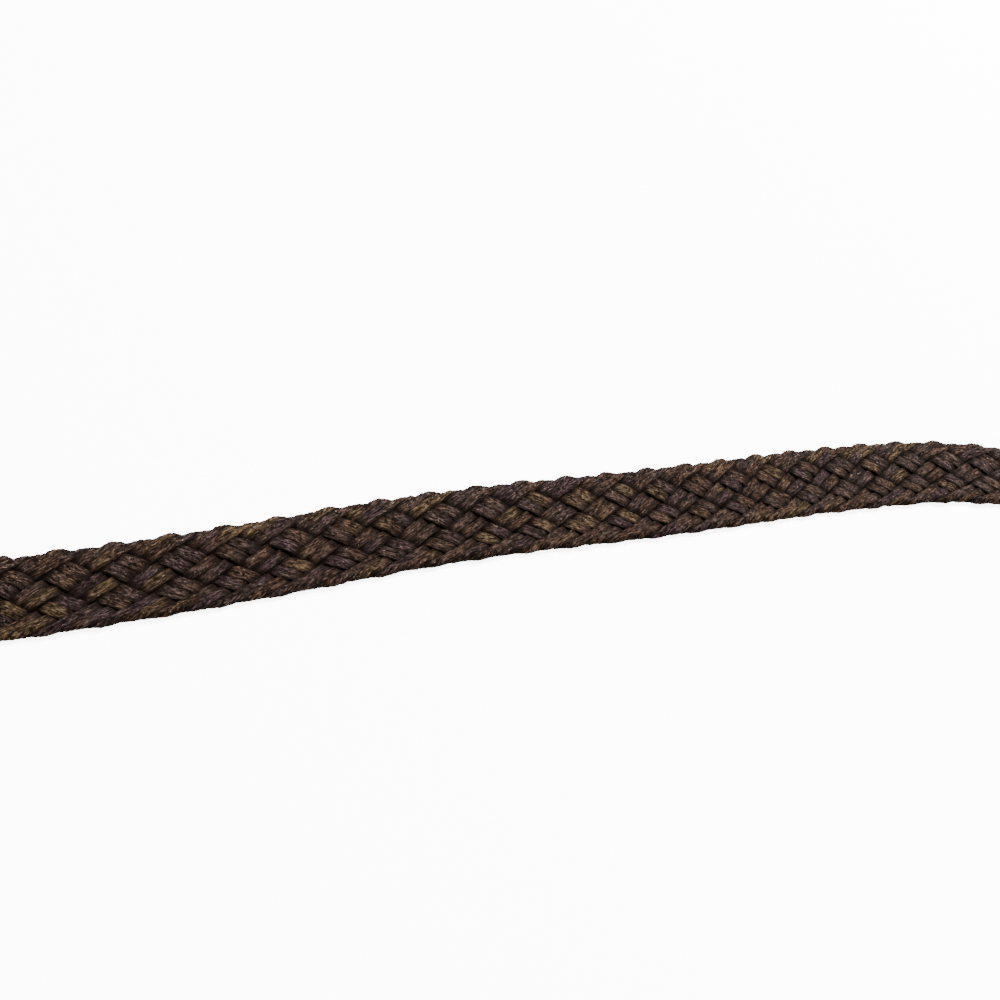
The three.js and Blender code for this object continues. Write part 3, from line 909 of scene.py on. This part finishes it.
buckle = {
    "barRadius": 1.6,
    "halfWidth": 2.5,        # of the frame's section, seen from above
    "halfHeight": 2.3,
    "front": 34.5,           # from the bar to the middle of the front
    "side": 20.5,            # from the middle to the middle of a side
    "barEnd": 17.25,
    "heel": 2.5,
    "corner": 6.0,
    "round": 2.4,            # exponent of the section
    "sectionSides": 32,
    "barRows": 9,            # rows of half the frame, from the bar's middle to the front's
    "heelRows": 14,
    "sideRows": 12,
    "cornerRows": 17,
    "frontRows": 7,
}
prong = {
    "width": 4.4,
    "thick": 2.4,
    "over": 3.5,             # past the middle of the front
    "rootWidth": 5.2,        # where it curls round the bar
    "rootThick": 1.15,
    "rootGap": 0.05,         # from the bar to its root
    "rootShare": 0.12,       # of its run over which it grows out of the root
    "narrows": 0.3,          # taken off its width towards the tip, of the width
    "thins": 0.15,
    "rounding": 1.6,         # length of its rounded tip
    "blunt": 0.04,           # least size at its end, of its section
    "seat": 5.4,             # height of its middle over the front
    "round": 2.8,            # exponent of the section
    "sectionSides": 24,
    "rootRows": 34,
    "runRows": 39,
    "tipRows": 7,
}
brassFinish = {
    "bright": (0.30, 0.215, 0.105),
    "dull": (0.085, 0.056, 0.030),
    "tarnish": greys((0.38, 0.0), (0.62, 1.0)),
    "tarnishNoise": (110.0, 7.0, 0.68),
    "fineNoise": (900.0, 3.0, 0.6),
    "rough": (0.58, 0.34),   # where it is dull and where it is bright
    "roughOver": (0.35, 0.65),
    "relief": 0.05,          # mm
    "reliefShare": 0.35,
    "gloss": 0.5,
    "glossTint": (1.0, 1.0, 1.0),
}


def brassMaterial():
    material, tree, shader = newMaterial("dull antique brass")
    shader.inputs["Metallic"].default_value = 1.0
    place = addNode(tree, "ShaderNodeTexCoord").outputs["Object"]
    tarnish = noiseOver(tree, place, brassFinish["tarnishNoise"])
    fine = noiseOver(tree, place, brassFinish["fineNoise"])
    mask = ramp(tree, tarnish, brassFinish["tarnish"])
    colour = mixColour(tree, mask, (*brassFinish["dull"], 1.0), (*brassFinish["bright"], 1.0))
    dress(tree, shader, brassFinish, colour, tarnish, fine)
    return material


# The frame's path, right half: along the bar, a quarter ellipse at the heel, the side, a quarter
# circle and the front. The section grows from the bar's to the frame's by a smooth step at the
# heel and comes down to the floor.
def frameMesh():
    heel = np.linspace(0, math.pi / 2, buckle["heelRows"] + 1)[1:]
    corner = np.linspace(0, math.pi / 2, buckle["cornerRows"])
    sideX = -buckle["front"] + buckle["corner"]
    frontY = buckle["side"] - buckle["corner"]
    x = np.concatenate([
        np.zeros(buckle["barRows"]),
        -buckle["heel"] + buckle["heel"] * np.cos(heel),
        np.linspace(-buckle["heel"], sideX, buckle["sideRows"] + 2)[1:-1],
        sideX - buckle["corner"] * np.sin(corner),
        np.full(buckle["frontRows"], -buckle["front"]),
    ])
    y = np.concatenate([
        np.linspace(0, buckle["barEnd"], buckle["barRows"]),
        buckle["barEnd"] + (buckle["side"] - buckle["barEnd"]) * np.sin(heel),
        np.full(buckle["sideRows"], buckle["side"]),
        frontY + buckle["corner"] * np.cos(corner),
        np.linspace(frontY, 0, buckle["frontRows"] + 1)[1:],
    ])
    grown = np.ones(len(x))
    grown[:buckle["barRows"]] = 0
    grown[buckle["barRows"]:buckle["barRows"] + len(heel)] = smoothStep(heel / heel[-1])
    x = np.concatenate([x, x[-2:0:-1]])
    y = np.concatenate([y, -y[-2:0:-1]])
    grown = np.concatenate([grown, grown[-2:0:-1]])
    ahead = aheadOn(np.stack([x, y], axis=-1))
    sx, sy = superellipse(buckle["sectionSides"], buckle["round"])
    halfWidth = buckle["barRadius"] + (buckle["halfWidth"] - buckle["barRadius"]) * grown
    halfHeight = buckle["barRadius"] + (buckle["halfHeight"] - buckle["barRadius"]) * grown
    middle = belt["barHeight"] + (buckle["halfHeight"] - belt["barHeight"]) * grown
    px = x[:, None] - ahead[:, 1, None] * halfWidth[:, None] * sx[None, :]
    py = y[:, None] + ahead[:, 0, None] * halfWidth[:, None] * sx[None, :]
    pz = middle[:, None] + halfHeight[:, None] * sy[None, :]
    points = standAt(0, np.stack([px, py, pz], axis=-1))
    return tidied(gridMesh("buckle_frame", points, closedAlong=True))


# The prong: a flat bar that curls round the buckle's bar from below and runs to the front, where
# its height comes down by a smooth step. Its section grows out of the root by another, shrinks
# evenly to the tip, and is rounded off over the last rings by a quarter circle.
def prongMesh():
    bend = buckle["barRadius"] + prong["rootGap"] + prong["rootThick"] / 2
    angle = np.radians(np.linspace(-175, 90, prong["rootRows"]))
    share = np.linspace(0, 1, prong["runRows"] + 1)[1:]
    ending = np.sin(np.linspace(0, math.pi / 2, prong["tipRows"] + 1))[1:]
    tipX = -buckle["front"] - prong["over"] + prong["rounding"]
    x = np.concatenate([bend * np.cos(angle), tipX * share, tipX - prong["rounding"] * ending])
    top = belt["barHeight"] + bend
    z = np.concatenate([
        belt["barHeight"] + bend * np.sin(angle),
        top + (prong["seat"] - top) * smoothStep(share),
        np.full(prong["tipRows"], prong["seat"]),
    ])
    root = np.zeros(prong["rootRows"])
    last = np.ones(prong["tipRows"])
    widened = smoothStep(np.clip(share / prong["rootShare"], 0, 1))
    grown = np.concatenate([root, widened, last])
    tapered = np.concatenate([root, share, last])
    closing = np.ones(len(x))
    closing[-prong["tipRows"]:] = np.sqrt(np.maximum(1 - ending ** 2, prong["blunt"] ** 2))
    width = prong["rootWidth"] + (prong["width"] - prong["rootWidth"]) * grown
    width = width * (1 - prong["narrows"] * tapered)
    thicker = (prong["thick"] - prong["rootThick"]) * grown * (1 - prong["thins"] * tapered)
    thick = prong["rootThick"] + thicker
    ahead = unit(np.gradient(np.stack([x, z], axis=-1), axis=0))
    sx, sy = superellipse(prong["sectionSides"], prong["round"])
    across = (width * closing)[:, None] / 2 * sx[None, :]
    rise = (thick * closing)[:, None] / 2 * sy[None, :]
    px = x[:, None] + ahead[:, 1, None] * rise
    pz = z[:, None] - ahead[:, 0, None] * rise
    return tidied(gridMesh("buckle_prong", standAt(0, np.stack([px, across, pz], axis=-1))))


brass = brassMaterial()
for mesh in (frameMesh(), prongMesh()):
    addPiece(mesh, brass, ("buckle",))
print("buckle made")

# Floor, light and camera
stage = {
    "floorTone": (0.9, 0.9, 0.9),
    "floorRough": 0.9,
    "size": 6.0,             # of the floor, m
    "world": 0.42,
    "glow": 7.0,             # added to floor and sky for the camera alone: overexposed ground
}


# A strength for all rays, and one that is added to it for the camera alone.
def strengthFor(tree, always, seen):
    camera = addNode(tree, "ShaderNodeLightPath").outputs["Is Camera Ray"]
    total = addNode(tree, "ShaderNodeMath", {"operation": "MULTIPLY_ADD"}, i0=camera, i1=seen,
                    i2=always)
    return total.outputs[0]


corners = np.array([[[-1, -1, 0], [1, -1, 0]], [[-1, 1, 0], [1, 1, 0]]])
floorMesh = gridMesh("floor", corners * stage["size"] / 2 / mm, closedAcross=False)
floor = addObject("floor", floorMesh)
floorLook = plainMaterial("pale floor", stage["floorTone"], stage["floorRough"])
floorShader = floorLook.node_tree.nodes["Principled BSDF"]
floorShader.inputs["Emission Color"].default_value = (1.0, 1.0, 1.0, 1.0)
feed(floorLook.node_tree, floorShader.inputs["Emission Strength"],
     strengthFor(floorLook.node_tree, 0.0, stage["glow"]))
floorMesh.materials.append(floorLook)

world = bpy.data.worlds.new("studio")
bpy.context.scene.world = world
world.use_nodes = True
sky = world.node_tree.nodes["Background"]
sky.inputs["Color"].default_value = (1.0, 1.0, 1.0, 1.0)
feed(world.node_tree, sky.inputs["Strength"],
     strengthFor(world.node_tree, stage["world"], stage["glow"]))


# The matrix of an object in metres, from its right and its look, two unit vectors.
def facing(right, look, place):
    matrix = np.eye(4)
    matrix[:3] = np.stack([right, np.cross(right, look), -look, place], axis=-1)
    return Matrix(matrix)


view = {
    "along": 505.0,          # the point of the belt that the camera's place is measured from
    "back": (-167.65, -289.16, 367.14),  # from there along the belt, to its left and up
    "azimuth": 59.62,        # of the look, from the belt's heading there
    "down": 46.6,
    "roll": 15.89,
    "lens": 50.0,
    "sensor": 36.0,
    "nearest": 0.01,         # m, what lies closer isn't drawn
}


# The camera looks along the azimuth and down, and is rolled about its look.
def placeCamera():
    place = standAt(view["along"], np.array(view["back"])) * mm
    azimuth = float(routeAt(view["along"])[2]) + math.radians(view["azimuth"])
    down = math.radians(view["down"])
    roll = math.radians(view["roll"])
    level = np.array([math.cos(azimuth), math.sin(azimuth), 0.0])
    look = level * math.cos(down) - np.array([0.0, 0.0, math.sin(down)])
    right = np.array([level[1], -level[0], 0.0])
    right = right * math.cos(roll) + np.cross(right, look) * math.sin(roll)
    camera = addObject("camera", bpy.data.cameras.new("camera"))
    camera.data.lens = view["lens"]
    camera.data.sensor_width = view["sensor"]
    camera.data.clip_start = view["nearest"]
    camera.matrix_world = facing(right, look, place)
    bpy.context.scene.camera = camera


placeCamera()

lights = {                   # metres and watts
    "key": {"place": (1.6, 0.55, 2.0), "target": (0.05, 0.05, 0.0), "size": 0.8, "power": 500},
    "fill": {"place": (-0.9, -0.6, 1.4), "target": (0.05, 0.1, 0.0), "size": 1.2, "power": 10},
}


# A square light that faces its target, its right side level.
def addLight(name, place, target, size, power):
    light = bpy.data.lights.new(name, "AREA")
    light.shape = "RECTANGLE"
    light.size = size
    light.size_y = size
    light.energy = power
    lamp = addObject(name, light)
    look = np.array(target) - np.array(place)
    look /= np.linalg.norm(look)
    right = np.cross(look, (0, 0, 1.0))
    right /= np.linalg.norm(right)
    lamp.matrix_world = facing(right, look, place)


for name, values in lights.items():
    addLight(name, **values)
print("stage made")
